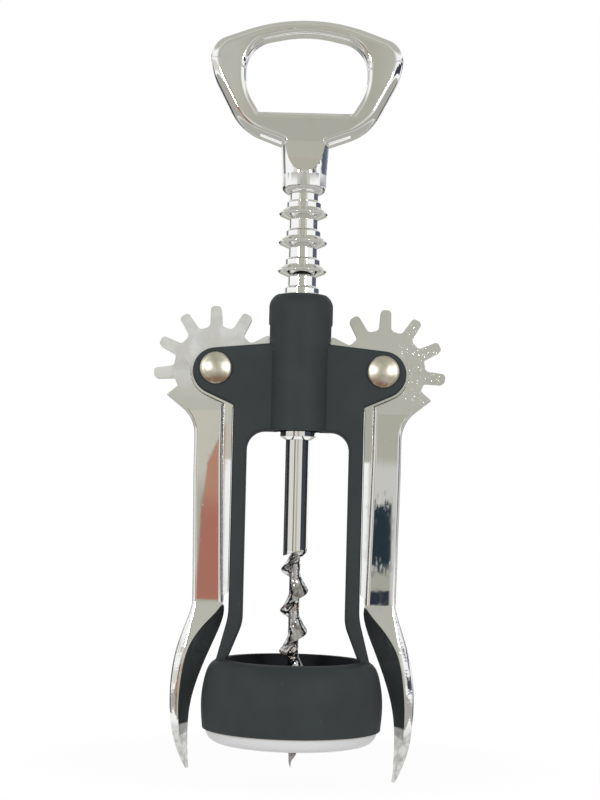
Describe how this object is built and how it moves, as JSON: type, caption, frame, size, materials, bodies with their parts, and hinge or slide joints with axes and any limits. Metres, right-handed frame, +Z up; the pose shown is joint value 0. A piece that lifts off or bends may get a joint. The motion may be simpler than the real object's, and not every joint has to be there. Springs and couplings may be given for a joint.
{
  "type": "wing corkscrew",
  "caption": "Wing corkscrew with a cap opener handle, a ring rack, two toothed levers, a frame with a bell, and a solid worm.",
  "frame": {"origin": "centre of the bottle ring's lower rim, on the worm's axis", "axes": "+Z up along the spindle towards the handle, +X towards the right lever seen from the front, -Y is the front"},
  "size_m": [0.0714, 0.0446, 0.1863],
  "materials": {
    "soft_touch": "soft-touch matt charcoal paint on a zinc casting",
    "ring_plastic": "light grey moulded plastic",
    "chrome_plate": "bright chrome plate",
    "nickel_satin": "satin nickel"
  },
  "bodies": {
    "frame": {"body_frame": "soft_touch", "bottle_ring": "ring_plastic", "left_rivet": "nickel_satin", "right_rivet": "nickel_satin", "left_rivet_cap": "nickel_satin", "right_rivet_cap": "nickel_satin"},
    "left_arm": {"left_lever": "chrome_plate"},
    "right_arm": {"right_lever": "chrome_plate"},
    "carriage": {"shank_collar": "chrome_plate"},
    "spindle": {"handle": "chrome_plate", "handle_pin": "nickel_satin", "rack": "chrome_plate", "worm": "chrome_plate"}
  },
  "joints": [
    {"name": "spindle_slide", "type": "slide", "parent": "frame", "child": "carriage", "axis": [0, 0, -1], "range_m": [0, 0.0255]},
    {"name": "spindle_turn", "type": "hinge", "parent": "carriage", "child": "spindle", "pos_m": [0, 0, 0.075], "axis": [0, 0, -1], "continuous": true},
    {"name": "left_lever_pivot", "type": "hinge", "parent": "frame", "child": "left_arm", "pos_m": [-0.0204, 0, 0.0914], "axis": [0, 1, 0], "range_deg": [0, 113.66]},
    {"name": "right_lever_pivot", "type": "hinge", "parent": "frame", "child": "right_arm", "pos_m": [0.0204, 0, 0.0914], "axis": [0, -1, 0], "range_deg": [0, 113.66]}
  ],
  "couplings": [
    {"joint": "left_lever_pivot", "follows": "spindle_slide", "rad_per_m": 77.792},
    {"joint": "right_lever_pivot", "follows": "spindle_slide", "rad_per_m": 77.792}
  ]
}
